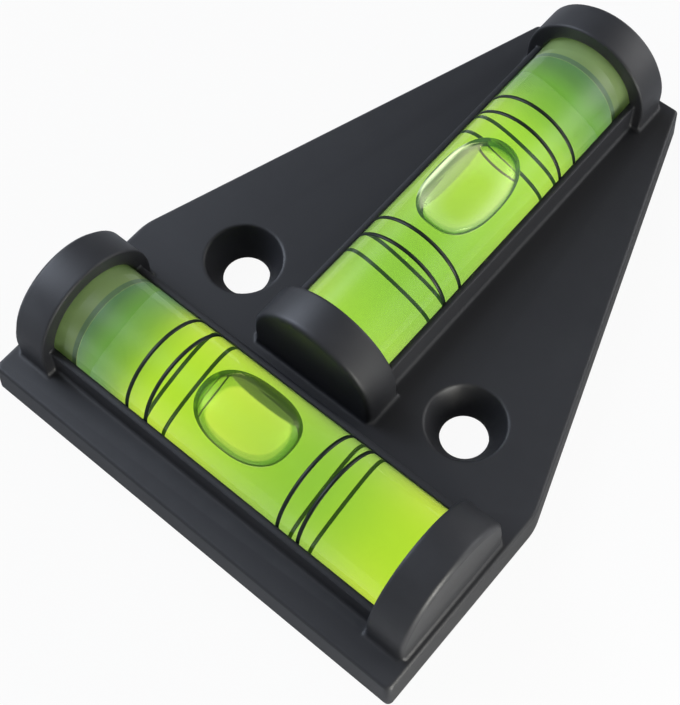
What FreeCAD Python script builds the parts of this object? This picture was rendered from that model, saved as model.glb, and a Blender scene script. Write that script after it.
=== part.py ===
import FreeCAD, Part
import math
import os
from FreeCAD import Vector

os.makedirs("parts", exist_ok=True)

# Mini cross spirit level: one black moulding that carries two equal tube vials in a T, one across the
# front edge and one up the middle. Each vial's two ends lie under half-round hoods. Two countersunk
# screw holes fix the level to what it is to keep level.
# Millimetres. The origin is in the middle of the resting face, +Y points to the narrow end, +Z is up.

# Vials
vial_diameter = 11.5
vial_length = 46.4
tube_wall = 1.05              # at mid length, where the bore is widest
bore_rise = 0.15              # how much smaller the bore's radius is at its ends than at mid length
closed_end = 1.8              # solid end of the barrel
plug_length = 5.0
bubble_lengths = {"cross_vial": 11.1, "long_vial": 12.6}
bubble_width = 7.1
bubble_depth = 3.4
bubble_film = 0.05            # liquid that stays on the wall over the bubble
line_width = 0.4
line_depth = 0.05             # thickness of the ink
inner_line = 8.4              # first pair of graduation lines, from mid length
line_pitch = 2.5              # from each inner line to the next line out

# Seats of the vials in the moulding
vial_lift = 0.45              # underside of a vial above the resting face
seat_clearance = 0.1          # round a vial, and at each of its ends
end_wall = 1.5
hood_wall = 1.7
hood_length = 4.15
hood_bevel = 0.5              # outer rim of each hood
rail_wall = 0.62
rail_rise = 1.15              # top of the rails above the vials' axis
root_bevel = 0.4              # where hoods and rails grow out of the plate

# Plate
plate_height = 4.0
plate_draft = 0.25            # how far its top edge stands in from its foot
edge_bevel = 0.3
corner_round = 0.6
shoulder_round = 6.0          # where the straight sides turn in to the taper
straight_side = 22.3
front_land = 3.05             # front edge to the front vial's hoods
side_ledge = 1.1              # hood ends to the sides and to the back edge
housing_gap = 1.15            # between the two vials' housings
back_margin = 2.05            # each side of the rear hood along the back edge
top_skin = 1.6
rim_wall = 1.7
pocket_wall = 1.6             # walls of the vial pockets on the hollow underside

# Screw holes
hole_diameter = 5.0
sink_diameter = 8.3
throat_height = 0.8           # straight part of the hole above the resting face
boss_wall = 1.5
hole_side_gap = 7.05          # hole centre to the side of the middle vial's hoods
hole_front_gap = 7.45         # hole centre to the back of the front vial's hoods

vial_radius = vial_diameter / 2
bore_radius = vial_radius - tube_wall
axis_height = vial_lift + vial_radius
pocket_radius = vial_radius + seat_clearance
hood_radius = pocket_radius + hood_wall
rail_half = pocket_radius + rail_wall
rail_top = axis_height + rail_rise
wall_half = pocket_radius + pocket_wall
pocket_length = vial_length + 2 * seat_clearance
housing_length = pocket_length + 2 * end_wall

front_width = housing_length + 2 * side_ledge
back_width = 2 * (hood_radius + back_margin)
total_length = front_land + 2 * hood_radius + housing_gap + housing_length + side_ledge
front_edge = -total_length / 2
back_edge = total_length / 2
cross_y = front_edge + front_land + hood_radius
long_y = back_edge - side_ledge - housing_length / 2
hole_x = hood_radius + hole_side_gap
hole_y = cross_y + hood_radius + hole_front_gap


def plate_outline(inset, z):
    """Closed wire round the plate, drawn in by inset from its foot, with rounded corners."""
    half_front = front_width / 2
    half_back = back_width / 2
    shoulder = front_edge + straight_side
    corners = [
        Vector(-half_front, front_edge, z),
        Vector(half_front, front_edge, z),
        Vector(half_front, shoulder, z),
        Vector(half_back, back_edge, z),
        Vector(-half_back, back_edge, z),
        Vector(-half_front, shoulder, z),
    ]
    rounds = [corner_round, corner_round, shoulder_round, corner_round, corner_round, shoulder_round]
    count = len(corners)
    moved = []
    for i in range(count):
        into = (corners[i] - corners[i - 1]).normalize()
        out = (corners[(i + 1) % count] - corners[i]).normalize()
        left_in = Vector(-into.y, into.x, 0)
        left_out = Vector(-out.y, out.x, 0)
        bisector = (left_in + left_out).normalize()
        moved.append(corners[i] + bisector * (inset / bisector.dot(left_in)))
    arcs = []
    for i in range(count):
        into = (moved[i] - moved[i - 1]).normalize()
        out = (moved[(i + 1) % count] - moved[i]).normalize()
        turn = into.getAngle(out)
        reach = rounds[i] * math.tan(turn / 2)
        start = moved[i] - into * reach
        end = moved[i] + out * reach
        centre_way = (out - into).normalize()
        middle = moved[i] + centre_way * (rounds[i] / math.cos(turn / 2) - rounds[i])
        arcs.append((start, middle, end))
    edges = []
    for i in range(count):
        start, middle, end = arcs[i]
        edges.append(Part.Arc(start, middle, end).toShape())
        edges.append(Part.makeLine(end, arcs[(i + 1) % count][0]))
    return Part.Wire(edges)


def hood():
    """Half-round hood over one vial end, along +X from its outer face, its outer rim bevelled."""
    top = Vector(0, 0, axis_height + hood_radius)
    left = Vector(0, -hood_radius, axis_height)
    right = Vector(0, hood_radius, axis_height)
    foot_left = Vector(0, -hood_radius, 0)
    foot_right = Vector(0, hood_radius, 0)
    outline = Part.Wire([
        Part.makeLine(foot_left, left),
        Part.Arc(left, top, right).toShape(),
        Part.makeLine(right, foot_right),
        Part.makeLine(foot_right, foot_left),
    ])
    solid = Part.Face(outline).extrude(Vector(hood_length, 0, 0))
    rim = []
    for edge in solid.Edges:
        box = edge.BoundBox
        if box.XMax < hood_length / 2 and box.ZMax > hood_radius / 2:
            rim.append(edge)
    return solid.makeChamfer(hood_bevel, rim)


def housing():
    """Two hoods with low rails between them, centred on the origin with its length along X."""
    near = hood()
    near.translate(Vector(-housing_length / 2, 0, 0))
    far = near.copy()
    far.rotate(Vector(0, 0, 0), Vector(0, 0, 1), 180)
    rails = Part.makeBox(housing_length - 2 * hood_length, 2 * rail_half, rail_top,
                         Vector(-housing_length / 2 + hood_length, -rail_half, 0))
    return near.fuse([far, rails])


def vial_pocket():
    """Hollow that a vial is pushed up into from below: straight walls under a half-round roof."""
    left = Vector(0, -pocket_radius, axis_height)
    right = Vector(0, pocket_radius, axis_height)
    outline = Part.Wire([
        Part.makeLine(Vector(0, -pocket_radius, 0), left),
        Part.Arc(left, Vector(0, 0, axis_height + pocket_radius), right).toShape(),
        Part.makeLine(right, Vector(0, pocket_radius, 0)),
        Part.makeLine(Vector(0, pocket_radius, 0), Vector(0, -pocket_radius, 0)),
    ])
    solid = Part.Face(outline).extrude(Vector(pocket_length, 0, 0))
    solid.translate(Vector(-pocket_length / 2, 0, 0))
    return solid


def across(shape):
    """Place a shape made along X at the front vial, its plug end to the left."""
    placed = shape.copy()
    placed.rotate(Vector(0, 0, 0), Vector(0, 0, 1), 180)
    placed.translate(Vector(0, cross_y, 0))
    return placed


def lengthwise(shape):
    """Place a shape made along X at the middle vial, its plug end to the back."""
    placed = shape.copy()
    placed.rotate(Vector(0, 0, 0), Vector(0, 0, 1), 90)
    placed.translate(Vector(0, long_y, 0))
    return placed


def plate():
    """The plate's outer form: drafted sides, rounded corners and a bevelled top edge."""
    foot = plate_outline(0, 0)
    brow = plate_outline(plate_draft, plate_height - edge_bevel)
    crown = plate_outline(plate_draft + edge_bevel, plate_height)
    return Part.makeLoft([foot, brow, crown], True, True)


def root_edges(shape):
    """Straight edges where hoods and rails meet the top of the plate."""
    half = housing_length / 2 + side_ledge / 2
    found = []
    for edge in shape.Edges:
        box = edge.BoundBox
        flat = box.ZLength < 1e-4 and abs(box.ZMin - plate_height) < 1e-4
        in_cross = abs(box.Center.x) < half and abs(box.Center.y - cross_y) < hood_radius + front_land / 2
        in_long = abs(box.Center.y - long_y) < half and abs(box.Center.x) < hood_radius + back_margin / 2
        if flat and (in_cross or in_long):
            found.append(edge)
    return found


def underside_hollows():
    """Hollows on the underside, left and right, round the vial pockets and the screw bosses."""
    depth = plate_height - top_skin
    inner = Part.Face(plate_outline(rim_wall, 0)).extrude(Vector(0, 0, depth))
    cross_back = cross_y + wall_half
    front_block = Part.makeBox(front_width, cross_back - front_edge, depth,
                               Vector(-front_width / 2, front_edge, 0))
    spine = Part.makeBox(2 * wall_half, back_edge - cross_back, depth, Vector(-wall_half, cross_back, 0))
    hollows = inner.cut(front_block).cut(spine)
    for x in (-hole_x, hole_x):
        boss = Part.makeCylinder(sink_diameter / 2 + boss_wall, depth, Vector(x, hole_y, 0))
        hollows = hollows.cut(boss)
    return hollows


def screw_hole(x):
    """Straight throat under a steep countersink."""
    throat = Part.makeCylinder(hole_diameter / 2, throat_height, Vector(x, hole_y, 0))
    sink = Part.makeCone(hole_diameter / 2, sink_diameter / 2, plate_height - throat_height,
                         Vector(x, hole_y, throat_height))
    return throat.fuse(sink)


def level_base():
    """The whole moulding."""
    body = plate().fuse([across(housing()), lengthwise(housing())]).removeSplitter()
    body = body.makeChamfer(root_bevel, root_edges(body))
    cuts = [across(vial_pocket()), lengthwise(vial_pocket()), underside_hollows()]
    cuts += [screw_hole(x) for x in (-hole_x, hole_x)]
    return body.cut(cuts).removeSplitter()


def bore_radius_at(x):
    """Radius of the barrel-shaped bore at x from mid length."""
    half = vial_length / 2
    return bore_radius - bore_rise * (x / half) ** 2


def bore_solid(start, end):
    """The bore's inside from start to end along X: a shallow arc turned about the vial's axis."""
    middle = (start + end) / 2
    low = Vector(start, 0, 0)
    high = Vector(end, 0, 0)
    arc_start = Vector(start, 0, bore_radius_at(start))
    arc_end = Vector(end, 0, bore_radius_at(end))
    arc_middle = Vector(middle, 0, bore_radius_at(middle))
    outline = Part.Wire([
        Part.makeLine(low, arc_start),
        Part.Arc(arc_start, arc_middle, arc_end).toShape(),
        Part.makeLine(arc_end, high),
        Part.makeLine(high, low),
    ])
    solid = Part.Face(outline).revolve(Vector(0, 0, 0), Vector(1, 0, 0), 360)
    solid.translate(Vector(0, 0, axis_height))
    return solid


def rod(radius, length, start):
    """Round bar along the vial's axis."""
    return Part.makeCylinder(radius, length, Vector(start, 0, axis_height), Vector(1, 0, 0))


def vial_lines():
    """The four graduation lines: thin bands of ink round the barrel."""
    bands = []
    for place in (inner_line, inner_line + line_pitch):
        for side in (-1, 1):
            start = side * place - line_width / 2
            band = rod(vial_radius + line_depth, line_width, start).cut(rod(vial_radius, line_width, start))
            bands.append(band)
    return Part.Compound(bands)


def bubble(length):
    """The bubble: rounded roof along the bore, and a rounder belly with half-round ends under it."""
    roof_radius = bore_radius - bubble_film
    half_width = bubble_width / 2
    bottom = roof_radius - bubble_depth
    side_rise = math.sqrt(roof_radius ** 2 - half_width ** 2) - bottom
    belly_radius = (half_width ** 2 + side_rise ** 2) / (2 * side_rise)
    end = length / 2 - belly_radius
    belly = Part.makeCylinder(belly_radius, 2 * end, Vector(-end, 0, 0), Vector(1, 0, 0))
    for x in (-end, end):
        belly = belly.fuse(Part.makeSphere(belly_radius, Vector(x, 0, 0), Vector(1, 0, 0)))
    belly.translate(Vector(0, 0, axis_height + bottom + belly_radius))
    return belly.common(rod(roof_radius, length, -length / 2)).removeSplitter()


def vial_parts(bubble_length):
    """Barrel, plug, liquid and lines of one vial, along X with the plug at the +X end."""
    half = vial_length / 2
    bore_start = -half + closed_end
    plug_start = half - plug_length
    bore = bore_solid(bore_start, plug_start)
    plug = rod(bore_radius_at(plug_start), plug_length, plug_start)
    barrel = rod(vial_radius, vial_length, -half).cut([bore, plug])
    return {"tube": barrel, "plug": plug, "liquid": bore.cut(bubble(bubble_length)), "lines": vial_lines()}


nodes = {"level_base": level_base()}
for vial, place in (("cross_vial", across), ("long_vial", lengthwise)):
    for piece, shape in vial_parts(bubble_lengths[vial]).items():
        nodes[vial + "_" + piece] = place(shape)

for name, shape in nodes.items():
    shape.exportStep("parts/" + name + ".step")
    box = shape.BoundBox
    print(name, "solids", len(shape.Solids), "valid", shape.isValid(), "volume", round(shape.Volume, 2),
          "size", round(box.XLength, 2), round(box.YLength, 2), round(box.ZLength, 2))
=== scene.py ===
import math
from collections import namedtuple
import bmesh
import bpy
from mathutils import Matrix, Vector


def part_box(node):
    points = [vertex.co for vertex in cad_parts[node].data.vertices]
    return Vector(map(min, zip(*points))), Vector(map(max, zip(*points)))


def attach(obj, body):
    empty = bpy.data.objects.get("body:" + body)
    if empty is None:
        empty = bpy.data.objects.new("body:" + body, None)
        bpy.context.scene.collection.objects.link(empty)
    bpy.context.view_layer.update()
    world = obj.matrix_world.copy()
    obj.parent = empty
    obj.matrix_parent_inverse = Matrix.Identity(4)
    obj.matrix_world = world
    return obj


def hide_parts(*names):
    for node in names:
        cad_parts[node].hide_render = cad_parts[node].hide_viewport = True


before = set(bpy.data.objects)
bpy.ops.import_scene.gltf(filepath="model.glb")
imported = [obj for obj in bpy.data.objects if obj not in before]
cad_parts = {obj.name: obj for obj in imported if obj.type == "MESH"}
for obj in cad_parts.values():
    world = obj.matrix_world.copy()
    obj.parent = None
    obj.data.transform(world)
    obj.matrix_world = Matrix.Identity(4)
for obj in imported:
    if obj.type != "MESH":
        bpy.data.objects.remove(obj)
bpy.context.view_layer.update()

# Moulded base: one piece of black ABS from a spark-eroded mould, so its skin is finely grained and its
# edges are a little rounded and polished. Its edges are also lighter, partly rubbed wear and partly a painted
# sheen. The plate, four half-round hoods, rails and vial pockets are all in it. Its form is taken from the
# frame, and every edge gets the small round of the mould.
charcoal = (0.013, 0.0135, 0.016, 1)
# Lighter charcoal on the edges: partly rubbed wear, partly a painted sheen.
charcoal_wear_and_sheen = (0.026, 0.027, 0.030, 1)
abs_index = 1.5
abs_roughness = (0.40, 0.54)
grain_scale = 5200
grain_height = 0.000012
grain_strength = 0.35
pit_smoothness = 0.6
fine_share = 0.6
wear_and_sheen_edges = (0.50, 0.60)
mould_round = 0.00016
round_segments = 3
round_from_angle = math.radians(50)
soft_edge = 0.00045
soft_edge_samples = 6
flat_within = math.radians(0.6)
flat_face_weight = 60
merge_distance = 1e-6


def feed(tree, node, inputs):
    """Gives each named input of a node a plain value, or the output of another node."""
    for name, value in inputs.items():
        if isinstance(value, bpy.types.NodeSocket):
            tree.links.new(value, node.inputs[name])
        else:
            node.inputs[name].default_value = value


def add_node(tree, kind, inputs=None, **settings):
    """Adds a node to a tree, with its settings and its inputs."""
    node = tree.nodes.new(kind)
    for setting, value in settings.items():
        setattr(node, setting, value)
    feed(tree, node, inputs or {})
    return node


def arithmetic(tree, operation, *values):
    """Result of one Math node, from numbers or other nodes' outputs."""
    return add_node(tree, "ShaderNodeMath", dict(enumerate(values)), operation=operation).outputs["Value"]


def ranged(tree, value, before=(0, 1), after=(0, 1), curve="LINEAR"):
    """A value taken from one range to another, and held at the ends."""
    inputs = {"Value": value, "From Min": before[0], "From Max": before[1]}
    inputs.update({"To Min": after[0], "To Max": after[1]})
    return add_node(tree, "ShaderNodeMapRange", inputs, interpolation_type=curve).outputs["Result"]


def blend(tree, share, first, second):
    """Colour between two others."""
    inputs = {"Factor": share, "A": first, "B": second}
    return add_node(tree, "ShaderNodeMix", inputs, data_type="RGBA").outputs["Result"]


def noise(tree, spot, scale, detail):
    """Uneven value over the surface."""
    inputs = {"Vector": spot, "Scale": scale, "Detail": detail}
    return add_node(tree, "ShaderNodeTexNoise", inputs).outputs["Fac"]


def shader_group(name, inputs, outputs):
    """An empty node group of numbers, with usual values for its inputs, and its two end nodes."""
    group = bpy.data.node_groups.new(name, "ShaderNodeTree")
    for label, value in inputs.items():
        socket = group.interface.new_socket(label, in_out="INPUT", socket_type="NodeSocketFloat")
        socket.default_value = value
    for label in outputs:
        group.interface.new_socket(label, in_out="OUTPUT", socket_type="NodeSocketFloat")
    return group, group.nodes.new("NodeGroupInput").outputs, group.nodes.new("NodeGroupOutput")


def new_material(name):
    """A new material, its node tree and its main shader."""
    material = bpy.data.materials.new(name)
    material.use_nodes = True
    return material, material.node_tree, material.node_tree.nodes["Principled BSDF"]


def spark_grain():
    """Spark-eroded skin: fine pitted grain, slow drift in gloss, and rubbed places along the edges that also
    carry a painted sheen.
    """
    scales = {"Grain Scale": 1000.0, "Drift Scale": 90.0, "Rub Scale": 600.0}
    group, given, made = shader_group("Spark grain", scales, ("Grain", "Drift", "Rub And Sheen"))
    spot = add_node(group, "ShaderNodeTexCoord").outputs["Object"]
    pit_inputs = {"Vector": spot, "Scale": given["Grain Scale"], "Smoothness": pit_smoothness}
    pits = add_node(group, "ShaderNodeTexVoronoi", pit_inputs, feature="SMOOTH_F1").outputs["Distance"]
    fine = noise(group, spot, given["Grain Scale"], 4)
    rubbed = noise(group, spot, given["Rub Scale"], 5)
    edges = add_node(group, "ShaderNodeNewGeometry").outputs["Pointiness"]
    feed(group, made, {
        "Grain": arithmetic(group, "MULTIPLY_ADD", fine, fine_share, pits),
        "Drift": noise(group, spot, given["Drift Scale"], 3),
        "Rub And Sheen": arithmetic(group, "MULTIPLY", ranged(group, edges, before=wear_and_sheen_edges), rubbed),
    })
    return group


grain_group = spark_grain()


def moulded_black():
    """Black ABS with a fine spark grain, edges lighter from wear and a painted sheen, and softly shaded
    corners.
    """
    material, tree, skin = new_material("moulded black ABS")
    grain = add_node(tree, "ShaderNodeGroup", {"Grain Scale": grain_scale}, node_tree=grain_group).outputs
    softened = add_node(tree, "ShaderNodeBevel", {"Radius": soft_edge}, samples=soft_edge_samples)
    bump = add_node(tree, "ShaderNodeBump", {
        "Strength": grain_strength,
        "Distance": grain_height,
        "Height": grain["Grain"],
        "Normal": softened.outputs["Normal"],
    })
    feed(tree, skin, {
        # Edges painted lighter: part rubbed wear, part painted sheen.
        "Base Color": blend(tree, grain["Rub And Sheen"], charcoal, charcoal_wear_and_sheen),
        "Roughness": ranged(tree, grain["Drift"], after=abs_roughness),
        "IOR": abs_index,
        "Normal": bump.outputs["Normal"],
    })
    return material


base = bpy.data.objects.new("moulded_base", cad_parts["level_base"].data.copy())
bpy.context.scene.collection.objects.link(base)
shell = bmesh.new()
shell.from_mesh(base.data)
bmesh.ops.remove_doubles(shell, verts=shell.verts, dist=merge_distance)
bmesh.ops.dissolve_limit(shell, angle_limit=flat_within, verts=shell.verts, edges=shell.edges)
shell.to_mesh(base.data)
shell.free()
rounding = base.modifiers.new("mould rounds", "BEVEL")
rounding.width = mould_round
rounding.segments = round_segments
rounding.limit_method = "ANGLE"
rounding.angle_limit = round_from_angle
evening = base.modifiers.new("flat faces stay flat", "WEIGHTED_NORMAL")
evening.weight = flat_face_weight
base.data.materials.clear()
base.data.materials.append(moulded_black())
for face in base.data.polygons:
    face.use_smooth = True
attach(base, "root")
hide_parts("level_base")

# Vial barrels: two clear acrylic tubes, moulded closed at one end and laid in the pockets of the base. Each
# bore is slightly barrel-shaped, so that its bubble finds the middle. Light bends where air meets acrylic and
# where acrylic meets liquid, as it does in the real one, and not where a plug is cemented.
acrylic_index = 1.49
liquid_index = 1.36
no_bend = 1.0
no_tint = (1, 1, 1, 1)
barrel_tint = (0.97, 0.985, 0.95, 1)
barrel_smear = (0.0, 0.03)
barrel_flow = 0.05
flow_height = 0.00002
bore_wall = 0.00105
bore_narrowing = 0.00015
bore_steps = 24
closed_end = 0.0018
plug_length = 0.0050
end_chamfer = 0.0001
facets_round = 144
crease_angle = math.radians(30)

VialPlace = namedtuple("VialPlace", "centre turn half_length barrel_radius")


def vial_place(vial, turn):
    """Where a vial lies in the level, where its plug end points, and the size of its barrel."""
    low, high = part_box(vial + "_tube")
    return VialPlace((low + high) / 2, turn, max(high - low) / 2, (high.z - low.z) / 2)


vials = {
    "cross_vial": vial_place("cross_vial", math.pi),
    "long_vial": vial_place("long_vial", math.pi / 2),
}


def bore_radius_at(x, place):
    """Radius of the barrel-shaped bore at x from mid length."""
    return place.barrel_radius - bore_wall - bore_narrowing * (x / place.half_length) ** 2


def bore_stations(place):
    """Evenly spaced places along the bore, from its closed end to the seat of its plug."""
    bore_start = closed_end - place.half_length
    seat_start = place.half_length - plug_length
    return [bore_start + (seat_start - bore_start) * step / bore_steps for step in range(bore_steps + 1)]


def seat_of(place):
    """Where the seat of a plug starts, and its radius."""
    seat_start = place.half_length - plug_length
    return seat_start, bore_radius_at(seat_start, place)


def turned(name, profile, materials, rings_of):
    """A solid turned about X, from (x, radius) points from pole to pole, with the material of each step."""
    shape = bmesh.new()
    loops = []
    for x, radius in profile:
        if radius == 0:
            loops.append([shape.verts.new((x, 0, 0))])
            continue
        loops.append([shape.verts.new((x, radius * math.cos(turn), radius * math.sin(turn)))
                      for turn in (2 * math.pi * step / facets_round for step in range(facets_round))])
    for step, (here, there) in enumerate(zip(loops, loops[1:])):
        for side in range(facets_round):
            after = (side + 1) % facets_round
            corners = [here[side % len(here)], here[after % len(here)],
                       there[after % len(there)], there[side % len(there)]]
            corners = [corner for number, corner in enumerate(corners) if corner not in corners[:number]]
            face = shape.faces.new(corners)
            face.smooth = True
            face.material_index = rings_of[step]
    bmesh.ops.recalc_face_normals(shape, faces=shape.faces)
    mesh = bpy.data.meshes.new(name)
    shape.to_mesh(mesh)
    shape.free()
    mesh.set_sharp_from_angle(angle=crease_angle)
    for material in materials:
        mesh.materials.append(material)
    return mesh


def polish_marks():
    """Very slight unevenness of moulded acrylic: faint flow lines for the bump, and smears for the gloss."""
    scales = {"Flow Scale": 120.0, "Smear Scale": 260.0}
    group, given, made = shader_group("Polish marks", scales, ("Flow", "Smear"))
    spot = add_node(group, "ShaderNodeTexCoord").outputs["Object"]
    feed(group, made, {
        "Flow": noise(group, spot, given["Flow Scale"], 2),
        "Smear": noise(group, spot, given["Smear Scale"], 5),
    })
    return group


marks_group = polish_marks()


def clear(name, index, tint, cloud=0.0, smear=(0, 0), flow=0):
    """See-through acrylic or liquid of one refractive index, with a share of cloud and faint polish marks."""
    material, tree, glass = new_material(name)
    marks = add_node(tree, "ShaderNodeGroup", node_tree=marks_group).outputs
    bump = add_node(tree, "ShaderNodeBump", {
        "Strength": flow,
        "Distance": flow_height,
        "Height": marks["Flow"],
    })
    feed(tree, glass, {
        "Base Color": tint,
        "Transmission Weight": 1 - cloud,
        "IOR": index,
        "Roughness": ranged(tree, marks["Smear"], after=smear),
        "Normal": bump.outputs["Normal"],
    })
    return material


def show(name, mesh, place, node):
    """Lays a finished piece of a vial in the level in the frame's stead, with its place in its mesh."""
    mesh.transform(Matrix.Translation(place.centre) @ Matrix.Rotation(place.turn, 4, "Z"))
    piece = bpy.data.objects.new(name, mesh)
    bpy.context.scene.collection.objects.link(piece)
    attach(piece, "root")
    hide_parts(node)


barrel_acrylic = clear("clear acrylic", acrylic_index, barrel_tint, smear=barrel_smear, flow=barrel_flow)
wetted_acrylic = clear("acrylic against liquid", acrylic_index / liquid_index, no_tint)
cemented_acrylic = clear("cemented acrylic", no_bend, no_tint)
barrel_finishes = (barrel_acrylic, wetted_acrylic, cemented_acrylic)
dry, wetted, cemented = range(len(barrel_finishes))

for vial, place in vials.items():
    end, radius = place.half_length, place.barrel_radius
    outside = [(-end, 0), (-end, radius - end_chamfer), (end_chamfer - end, radius),
               (end - end_chamfer, radius), (end, radius - end_chamfer), (end, seat_of(place)[1])]
    bore = [(x, bore_radius_at(x, place)) for x in reversed(bore_stations(place))]
    bottom = [(closed_end - end, 0)]
    rings_of = [dry] * (len(outside) - 1) + [cemented] + [wetted] * len(bore)
    barrel = turned(vial + "_barrel", outside + bore + bottom, barrel_finishes, rings_of)
    show(vial + "_barrel", barrel, place, vial + "_tube")

# Plugs: a short rod of clear acrylic is cemented into the open end of each barrel. The cement leaves it a
# little cloudy, with a darker line round its inner edge. Its inner end has a painted glow, which stands in
# for the light that comes through the liquid.
surface_gap = 0.000012
cement_width = 0.0006
plug_acrylic = clear("plug acrylic", no_bend, (0.47, 0.65, 0.27, 1), cloud=0.75)
cement_line = clear("line of cement", no_bend, (0.22, 0.36, 0.20, 1), cloud=0.9)
plug_end_tint = (0.80, 0.92, 0.50, 1)
# Painted glow of the plug's inner end, graded by height: brighter low down.
plug_end_painted_glow = ((0.0016, (0.62, 0.66, 0.20)), (0.0108, (0.12, 0.14, 0.0)))


def shaded_by(tree, value, stops):
    """Colour that runs evenly through the stops, pairs of a value and a colour, as the value grows."""
    first, last = stops[0][0], stops[-1][0]
    shades = add_node(tree, "ShaderNodeValToRGB", {"Fac": ranged(tree, value, before=(first, last))})
    ramp = shades.color_ramp
    ramp.interpolation = "EASE"
    while len(ramp.elements) < len(stops):
        ramp.elements.new(0.5)
    for stop, (x, shade) in zip(ramp.elements, stops):
        stop.position = (x - first) / (last - first)
        stop.color = (*shade, 1)
    return shades.outputs["Color"]


def cemented_end():
    """Inner end of a plug, cloudy with cement, with a painted glow that is brighter low down, under the
    liquid.
    """
    material = clear("cemented end of plug with painted glow", acrylic_index / liquid_index, plug_end_tint, cloud=0.8)
    tree = material.node_tree
    spot = add_node(tree, "ShaderNodeTexCoord").outputs["Object"]
    height = add_node(tree, "ShaderNodeSeparateXYZ", {"Vector": spot}).outputs["Z"]
    # Painted glow, brighter low down, fed in as emission.
    light = shaded_by(tree, height, plug_end_painted_glow)
    feed(tree, tree.nodes["Principled BSDF"], {"Emission Color": light, "Emission Strength": 1.0})
    return material


plug_finishes = (plug_acrylic, cemented_end(), barrel_acrylic, cement_line)
rod_side, inner_face, outer_face, cemented_edge = range(len(plug_finishes))
plug_rings = [inner_face, cemented_edge, rod_side, outer_face]

for vial, place in vials.items():
    seat_start, seat_radius = seat_of(place)
    inner_end, rod_radius = seat_start + surface_gap, seat_radius - surface_gap
    rod = [(inner_end, 0), (inner_end, rod_radius), (seat_start + cement_width, rod_radius),
           (place.half_length, rod_radius), (place.half_length, 0)]
    plug = turned(vial + "_plug_rod", rod, plug_finishes, plug_rings)
    show(vial + "_plug_rod", plug, place, vial + "_plug")

# Liquid and bubbles: spirit dyed a fluorescent yellow-green fills each bore, but for one bubble of air under
# the roof. The liquid's colour along the vial and its glow near the plug are painted light and shade, and so
# are the bubble's dark rim and the window and far wall seen in it. Shades are lists of a place and a colour,
# in metres from the middle of the vial, and lie on the surface itself.
dye_colour = (0.790, 0.933, 0.300, 1)
dye_strength = 350.0
# Painted light and shade along each liquid: a brighter closed end, a duller middle and a teal plug end.
liquid_painted_shades = {
    "cross_vial": ((-0.0190, (0.96, 0.93, 0.30)), (-0.0085, (0.60, 0.71, 0.46)),
                   (0.0100, (1.00, 0.97, 0.34)), (0.0165, (0.28, 0.37, 0.46))),
    "long_vial": ((-0.0190, (0.75, 0.84, 0.46)), (-0.0115, (0.60, 0.74, 0.48)),
                  (0.0095, (0.86, 0.93, 0.46)), (0.0165, (0.33, 0.46, 0.46))),
}
# Painted glow of each liquid near its plug.
liquid_painted_glow = {
    "cross_vial": ((0.0120, (0.20, 0.46, 0.03)), (0.0160, (0.22, 0.50, 0.42))),
    "long_vial": ((0.0120, (0.20, 0.46, 0.18)), (0.0160, (0.22, 0.50, 0.45))),
}
liquid_painted_glow_strength = 0.08
bubble_lengths = {"cross_vial": 0.0111, "long_vial": 0.0126}
bubble_width = 0.0071
bubble_depth = 0.0034
bubble_film = 0.00005
bubble_end_corner = 0.84
bubble_wall_corner = 0.95
bubble_tip_lift = 0.3
bubble_roof_blend = 0.00015
bubble_squareness = 2.5
bubble_steps = 64
bubble_facets = 112
# Painted shade round the bubble's rim and painted light in its window, from the middle of the bubble, 0, to
# its rim, 1.
rim_painted_shades = {
    "cross_vial": ((0.79, (1.0, 1.0, 1.0)), (0.85, (0.52, 0.64, 0.56)),
                   (0.95, (0.40, 0.55, 0.50)), (1.02, (0.08, 0.16, 0.10))),
    "long_vial": ((0.89, (1.0, 1.0, 1.0)), (0.94, (0.55, 0.66, 0.56)),
                  (0.98, (0.30, 0.42, 0.36)), (1.02, (0.08, 0.16, 0.10))),
}
window_painted_light = {
    "cross_vial": ((0.40, (0.210, 0.130, 0.075)), (0.76, (0.210, 0.135, 0.090)), (0.86, (0.0, 0.0, 0.0))),
    "long_vial": ((0.35, (0.160, 0.080, 0.080)), (0.75, (0.220, 0.140, 0.300)),
                  (0.88, (0.200, 0.140, 0.260)), (0.94, (0.0, 0.0, 0.0))),
}
# Across the bubble, from -1 to 1 at its far side. The band of the far wall, with its painted shade, painted
# reflection and painted highlight streak, starts between two such places.
far_side = {"cross_vial": -1, "long_vial": 1}
far_wall_painted_band = {"cross_vial": (0.64, 0.70), "long_vial": (0.58, 0.64)}
far_wall_painted_shade = {"cross_vial": (0.03, 0.04, 0.04, 1), "long_vial": (0.10, 0.12, 0.12, 1)}
far_wall_painted_reflection = {
    "cross_vial": ((0.60, (0.070, 0.075, 0.060)), (1.00, (0.030, 0.035, 0.030))),
    "long_vial": ((0.60, (0.40, 0.36, 0.42)), (0.80, (0.45, 0.42, 0.48)), (1.00, (0.30, 0.32, 0.32))),
}
painted_highlight_streak = {
    "cross_vial": ((0.70, (0.0, 0.0, 0.0)), (1.00, (0.010, 0.010, 0.012))),
    "long_vial": ((0.76, (0.0, 0.0, 0.0)), (0.86, (0.55, 0.60, 0.56)),
                  (0.92, (0.45, 0.50, 0.45)), (0.97, (0.0, 0.0, 0.0))),
}
# Heights over the vial's axis between which the bubble's upper wall, with its painted highlight streak, gives
# way to its lower one.
lower_wall = (0.0031, 0.0028)


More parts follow.
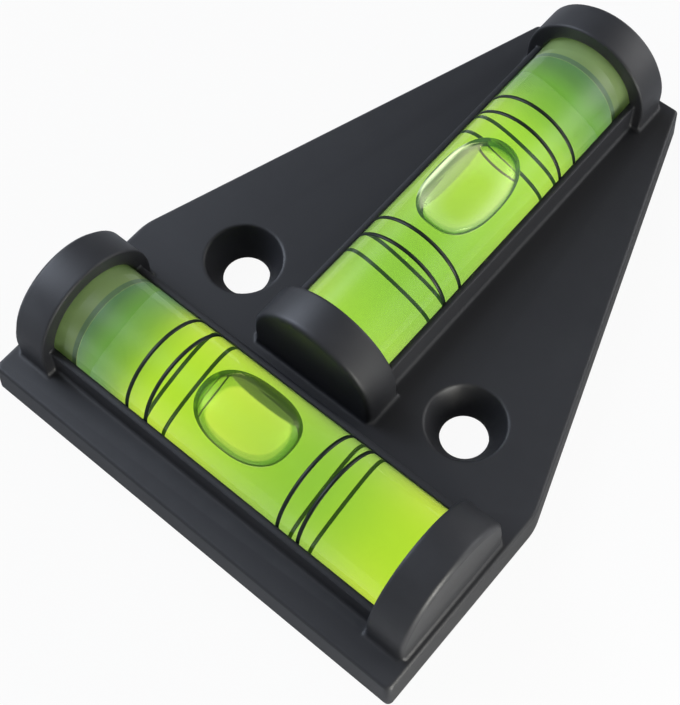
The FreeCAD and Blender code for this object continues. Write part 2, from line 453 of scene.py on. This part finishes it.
def from_vial_centre(tree, place, unit=(1, 1, 1)):
    """Coordinates of one vial in the given unit, with X along it from its middle towards its plug."""
    along = add_node(tree, "ShaderNodeMapping", {
        "Vector": add_node(tree, "ShaderNodeTexCoord").outputs["Object"],
        "Location": place.centre,
        "Rotation": (0, 0, place.turn),
        "Scale": unit,
    }, vector_type="TEXTURE")
    return add_node(tree, "ShaderNodeSeparateXYZ", {"Vector": along.outputs["Vector"]}).outputs


def green_liquid(vial):
    """Fluorescent yellow-green vial liquid: its dye takes the blue and red out of light. Its surface carries
    painted light and shade along the vial, and a painted glow near the plug.
    """
    material = clear("green liquid", no_bend, no_tint)
    tree = material.node_tree
    along = from_vial_centre(tree, vials[vial])["X"]
    feed(tree, tree.nodes["Principled BSDF"], {
        "Base Color": shaded_by(tree, along, liquid_painted_shades[vial]),
        "Emission Color": shaded_by(tree, along, liquid_painted_glow[vial]),
        "Emission Strength": liquid_painted_glow_strength,
    })
    dye = add_node(tree, "ShaderNodeVolumeAbsorption", {"Color": dye_colour, "Density": dye_strength})
    feed(tree, tree.nodes["Material Output"], {"Volume": dye.outputs["Volume"]})
    return material


def bubble_skin(vial):
    """Liquid against air: clear in the bubble's middle, with painted shade round its rim, painted light in
    its window, and a painted reflection, shade and highlight streak of its far wall in a band.
    """
    material = clear("liquid against air", liquid_index, no_tint)
    tree = material.node_tree
    axes = from_vial_centre(tree, vials[vial], (bubble_lengths[vial] / 2, bubble_width / 2, 1))
    sizes = [arithmetic(tree, "ABSOLUTE", axes[axis]) for axis in "XY"]
    powers = [arithmetic(tree, "POWER", size, bubble_squareness) for size in sizes]
    reach = arithmetic(tree, "POWER", arithmetic(tree, "ADD", *powers), 1 / bubble_squareness)
    across = arithmetic(tree, "MULTIPLY", axes["Y"], far_side[vial])
    lower = ranged(tree, axes["Z"], before=lower_wall, curve="SMOOTHSTEP")
    band = ranged(tree, across, before=far_wall_painted_band[vial], curve="SMOOTHSTEP")
    rim = shaded_by(tree, reach, rim_painted_shades[vial])
    window = shaded_by(tree, reach, window_painted_light[vial])
    far_wall = shaded_by(tree, across, far_wall_painted_reflection[vial])
    streak = shaded_by(tree, across, painted_highlight_streak[vial])
    # Base colour is painted shade; emission is painted light, reflection and highlight streak.
    feed(tree, tree.nodes["Principled BSDF"], {
        "Base Color": blend(tree, arithmetic(tree, "MULTIPLY", band, lower), rim, far_wall_painted_shade[vial]),
        "Emission Color": blend(tree, lower, streak, blend(tree, band, window, far_wall)),
        "Emission Strength": 1.0,
    })
    return material


def rounded(value, corner):
    """A sine or cosine pushed outwards, so that a circle drawn with it has flatter sides, tighter corners."""
    return math.copysign(abs(value) ** corner, value)


def bubble_wall(bubble_length, place):
    """Points of the bubble's wall, in rings along the vial: a round-cornered hollow under the bore's roof."""
    roof = place.barrel_radius - bore_wall - bubble_film
    middle = roof - bubble_depth / 2
    rings = []
    for step in range(1, bubble_steps):
        lean = math.pi * step / bubble_steps
        x = -bubble_length / 2 * rounded(math.cos(lean), bubble_end_corner)
        end_narrowing = rounded(math.sin(lean), bubble_end_corner)
        ring = []
        for side in range(bubble_facets):
            turn = 2 * math.pi * side / bubble_facets
            y = bubble_width / 2 * end_narrowing * rounded(math.cos(turn), bubble_wall_corner)
            z = middle + bubble_depth / 2 * end_narrowing * rounded(math.sin(turn), bubble_wall_corner)
            z += bubble_depth / 2 * (1 - end_narrowing) * bubble_tip_lift
            ceiling = math.sqrt(roof ** 2 - y ** 2) - bore_narrowing * (x / place.half_length) ** 2
            z -= bubble_roof_blend * math.log1p(math.exp((z - ceiling) / bubble_roof_blend))
            ring.append(Vector((x, y, z)))
        rings.append(ring)
    return rings


def add_bubble(mesh, bubble_length, place, bubble_slot):
    """Puts the bubble's wall into the liquid, with its faces turned into the hollow."""
    shape = bmesh.new()
    rings = [[shape.verts.new(point) for point in ring] for ring in bubble_wall(bubble_length, place)]
    for here, there in zip(rings, rings[1:]):
        for side in range(bubble_facets):
            after = (side + 1) % bubble_facets
            shape.faces.new((here[side], here[after], there[after], there[side]))
    for ring, x in ((rings[0], -bubble_length / 2), (rings[-1], bubble_length / 2)):
        height = sum(vert.co.z for vert in ring) / bubble_facets
        tip = shape.verts.new((x, 0, height))
        for side in range(bubble_facets):
            shape.faces.new((ring[side], ring[(side + 1) % bubble_facets], tip))
    bmesh.ops.recalc_face_normals(shape, faces=shape.faces)
    bmesh.ops.reverse_faces(shape, faces=shape.faces)
    for face in shape.faces:
        face.smooth = True
        face.material_index = bubble_slot
    shape.from_mesh(mesh)
    shape.to_mesh(mesh)
    shape.free()


for vial, place in vials.items():
    inner_end = seat_of(place)[0] - surface_gap
    stations = bore_stations(place)
    bottom = stations[0] + surface_gap
    side_wall = [(x, bore_radius_at(x, place) - surface_gap) for x in [bottom] + stations[1:-1] + [inner_end]]
    filling = [(bottom, 0)] + side_wall + [(inner_end, 0)]
    liquid_finishes = (green_liquid(vial), bubble_skin(vial))
    under_acrylic, under_air = range(len(liquid_finishes))
    liquid = turned(vial + "_green_liquid", filling, liquid_finishes, [under_acrylic] * (len(filling) - 1))
    add_bubble(liquid, bubble_lengths[vial], place, under_air)
    show(vial + "_green_liquid", liquid, place, vial + "_liquid")

# Graduation lines: four thin bands of black ink round the outside of each barrel, in two pairs. The bubble
# stands between the pairs when the level is level. The far side of each band is seen through the barrel.
line_width = 0.00040
ink_depth = 0.00005
inner_line = 0.0084
line_pitch = 0.0025
lines_a_side = 2
ink_black = (0.002, 0.006, 0.003, 1)
ink_thin = (0.006, 0.016, 0.006, 1)
ink_index = 1.35
ink_roughness = 0.4
ink_scale = 2500
seam_distance = 1e-7


def line_ink():
    """Black ink with a trace of green where it is thinner."""
    material, tree, ink = new_material("line ink")
    spot = add_node(tree, "ShaderNodeTexCoord").outputs["Object"]
    shade = blend(tree, noise(tree, spot, ink_scale, 4), ink_black, ink_thin)
    feed(tree, ink, {"Base Color": shade, "Roughness": ink_roughness, "IOR": ink_index})
    return material


def line_sizes(place):
    """Sizes of one vial's lines, under the names that the tree gives its inputs."""
    return {"Barrel Radius": place.barrel_radius, "Line Width": line_width, "Ink Depth": ink_depth,
            "Inner Line": inner_line, "Line Pitch": line_pitch}


def line_rings():
    """Geometry nodes that lay the bands of ink round a barrel, in one pair at each side of its middle."""
    tree = bpy.data.node_groups.new("Graduation lines", "GeometryNodeTree")
    for label, value in line_sizes(vials["cross_vial"]).items():
        socket = tree.interface.new_socket(label, in_out="INPUT", socket_type="NodeSocketFloat")
        socket.default_value = value
    tree.interface.new_socket("Bands", in_out="OUTPUT", socket_type="NodeSocketGeometry")
    given = tree.nodes.new("NodeGroupInput").outputs
    made = tree.nodes.new("NodeGroupOutput")

    row = add_node(tree, "GeometryNodeMeshLine", {"Count": 2 * lines_a_side}).outputs["Mesh"]
    number = add_node(tree, "GeometryNodeInputIndex").outputs["Index"]
    beyond = arithmetic(tree, "GREATER_THAN", number, lines_a_side - 0.5)
    side = arithmetic(tree, "SUBTRACT", arithmetic(tree, "MULTIPLY", beyond, 2), 1)
    in_pair = arithmetic(tree, "MODULO", number, lines_a_side)
    reach = arithmetic(tree, "MULTIPLY_ADD", in_pair, given["Line Pitch"], given["Inner Line"])
    stand = add_node(tree, "ShaderNodeCombineXYZ", {"X": arithmetic(tree, "MULTIPLY", side, reach)})
    spread = add_node(tree, "GeometryNodeSetPosition", {"Geometry": row, "Position": stand.outputs["Vector"]})

    circle = add_node(tree, "GeometryNodeCurvePrimitiveCircle", {
        "Resolution": facets_round,
        "Radius": given["Barrel Radius"],
    })
    section = add_node(tree, "GeometryNodeCurvePrimitiveQuadrilateral", {
        "Height": given["Line Width"],
        "Width": arithmetic(tree, "MULTIPLY", given["Ink Depth"], 2),
    })
    band = add_node(tree, "GeometryNodeCurveToMesh", {
        "Curve": circle.outputs["Curve"],
        "Profile Curve": section.outputs["Curve"],
    })
    upright = add_node(tree, "GeometryNodeTransform", {
        "Geometry": band.outputs["Mesh"],
        "Rotation": (0, math.pi / 2, 0),
    })
    bands = add_node(tree, "GeometryNodeInstanceOnPoints", {
        "Points": spread.outputs["Geometry"],
        "Instance": upright.outputs["Geometry"],
    })
    real = add_node(tree, "GeometryNodeRealizeInstances", {"Geometry": bands.outputs["Instances"]})
    inked = add_node(tree, "GeometryNodeSetMaterial", {
        "Geometry": real.outputs["Geometry"],
        "Material": line_ink(),
    })
    feed(tree, made, {"Bands": inked.outputs["Geometry"]})
    return tree


rings_tree = line_rings()
tree_sockets = rings_tree.interface.items_tree
line_inputs = {socket.name: socket.identifier for socket in tree_sockets if socket.in_out == "INPUT"}

for vial, place in vials.items():
    maker = bpy.data.objects.new(vial + "_line_maker", bpy.data.meshes.new("lines"))
    bpy.context.scene.collection.objects.link(maker)
    rings = maker.modifiers.new("lines", "NODES")
    rings.node_group = rings_tree
    for label, value in line_sizes(place).items():
        rings[line_inputs[label]] = value
    evaluated = maker.evaluated_get(bpy.context.evaluated_depsgraph_get())
    lines = bpy.data.meshes.new_from_object(evaluated)
    bpy.data.objects.remove(maker)
    bands = bmesh.new()
    bands.from_mesh(lines)
    bmesh.ops.remove_doubles(bands, verts=bands.verts, dist=seam_distance)
    bmesh.ops.recalc_face_normals(bands, faces=bands.faces)
    bands.to_mesh(lines)
    bands.free()
    show(vial + "_ink_lines", lines, place, vial + "_lines")

# Table: a plain pale matt top that the level rests on. It looks white to the eye and through the vials, and
# keeps the soft shadow of what stands on it.
table_top = (0.50, 0.50, 0.50, 1)
table_roughness = 0.9
table_size = 3.0
table_glow = 0.94


def table_finish():
    """Pale matt top, with a share of plain white where it is seen, straight or through clear acrylic."""
    material, tree, matt = new_material("pale table")
    feed(tree, matt, {"Base Color": table_top, "Roughness": table_roughness})
    white = add_node(tree, "ShaderNodeEmission", {"Strength": 1.0})
    path = add_node(tree, "ShaderNodeLightPath").outputs
    seen = arithmetic(tree, "MAXIMUM", path["Is Camera Ray"], path["Is Transmission Ray"])
    mix = add_node(tree, "ShaderNodeMixShader", {
        "Fac": arithmetic(tree, "MULTIPLY", seen, table_glow),
        1: matt.outputs["BSDF"],
        2: white.outputs["Emission"],
    })
    feed(tree, tree.nodes["Material Output"], {"Surface": mix.outputs["Shader"]})
    return material


half = table_size / 2
table_corners = [(-half, -half, 0), (half, -half, 0), (half, half, 0), (-half, half, 0)]
table_mesh = bpy.data.meshes.new("table")
table_mesh.from_pydata(table_corners, [], [(0, 1, 2, 3)])
table = bpy.data.objects.new("table", table_mesh)
table.data.materials.append(table_finish())
bpy.context.scene.collection.objects.link(table)

# Studio light: a dim even room with four wide soft lights in it, each given by its direction, narrowness and
# colour. One small soft lamp stands by the right hood, for the flat face of that hood. Behind everything is
# a plain white backdrop, which only the eye sees.
room_light = (0.20, 0.20, 0.20)
soft_lights = {
    "window": ((-0.80, -0.08, 0.59), 20.0, (8.2, 9.0, 10.5)),
    "low front left": ((-0.66, -0.73, 0.11), 36.0, (2.2, 2.4, 2.8)),
    "far right": ((0.51, 0.80, 0.33), 15.0, (4.4, 4.4, 4.5)),
    "low right": ((0.97, -0.22, 0.02), 60.0, (28.0, 28.0, 27.0)),
}
lamp_place = Vector((0.078, -0.034, 0.014))
lamp_target = Vector((0.026, -0.0244, 0.007))
lamp_width = 0.03
lamp_height = 0.014
lamp_watts = 0.038
lamp_colour = (1.0, 0.98, 0.90)

world = bpy.data.worlds.new("studio")
world.use_nodes = True
bpy.context.scene.world = world
sky = world.node_tree
heading = add_node(sky, "ShaderNodeTexCoord").outputs["Generated"]


def soft_light(toward, narrowness, colour):
    """One wide soft light of the room: brightest in one direction, and fading evenly round it."""
    aim = {0: heading, 1: Vector(toward).normalized()}
    facing = add_node(sky, "ShaderNodeVectorMath", aim, operation="DOT_PRODUCT").outputs["Value"]
    fade = arithmetic(sky, "POWER", arithmetic(sky, "MAXIMUM", facing, 0), narrowness)
    glow = add_node(sky, "ShaderNodeVectorMath", {0: colour, "Scale": fade}, operation="SCALE")
    return glow.outputs["Vector"]


total_light = room_light
for light in soft_lights.values():
    parts = {0: soft_light(*light), 1: total_light}
    total_light = add_node(sky, "ShaderNodeVectorMath", parts, operation="ADD").outputs["Vector"]
room = sky.nodes["Background"]
feed(sky, room, {"Color": total_light})
backdrop = add_node(sky, "ShaderNodeBackground", {"Color": (1, 1, 1, 1)})
pick = add_node(sky, "ShaderNodeMixShader", {
    "Fac": add_node(sky, "ShaderNodeLightPath").outputs["Is Camera Ray"],
    1: room.outputs["Background"],
    2: backdrop.outputs["Background"],
})
feed(sky, sky.nodes["World Output"], {"Surface": pick.outputs["Shader"]})

lamp = bpy.data.lights.new("lamp by the right hood", "AREA")
lamp.shape = "RECTANGLE"
lamp.size, lamp.size_y = lamp_width, lamp_height
lamp.energy = lamp_watts
lamp.color = lamp_colour
lamp_stand = bpy.data.objects.new("lamp by the right hood", lamp)
lamp_stand.location = lamp_place
lamp_stand.rotation_euler = (lamp_target - lamp_place).to_track_quat("-Z", "Z").to_euler()
lamp_stand.visible_camera = False
bpy.context.scene.collection.objects.link(lamp_stand)

# Camera: it stands where the photograph's was, at the front right and above. Its place, turn and lens follow
# from the level's own straight edges, hole rims and vials, as they lie in the picture.
picture_width = 680
picture_height = 705
lens_pixels = 1480.35
sensor_width = 36
camera_place = Vector((0.04590, -0.06136, 0.13617))
azimuth = math.radians(42.48)
elevation = math.radians(62.86)
roll = math.radians(-2.54)
nearest, farthest = 0.005, 10

flat = math.cos(elevation)
back = Vector((math.sin(azimuth) * flat, -math.cos(azimuth) * flat, math.sin(elevation)))
level_right = Vector((0, 0, 1)).cross(back).normalized()
level_up = back.cross(level_right)
right = level_right * math.cos(roll) + level_up * math.sin(roll)
up = level_up * math.cos(roll) - level_right * math.sin(roll)
lens = bpy.data.cameras.new("camera")
lens.sensor_width = sensor_width
lens.lens = lens_pixels * sensor_width / max(picture_width, picture_height)
lens.clip_start, lens.clip_end = nearest, farthest
camera = bpy.data.objects.new("camera", lens)
camera.matrix_world = Matrix.Translation(camera_place) @ Matrix((right, up, back)).transposed().to_4x4()
bpy.context.scene.collection.objects.link(camera)
bpy.context.scene.camera = camera
bpy.context.scene.view_settings.view_transform = "Standard"
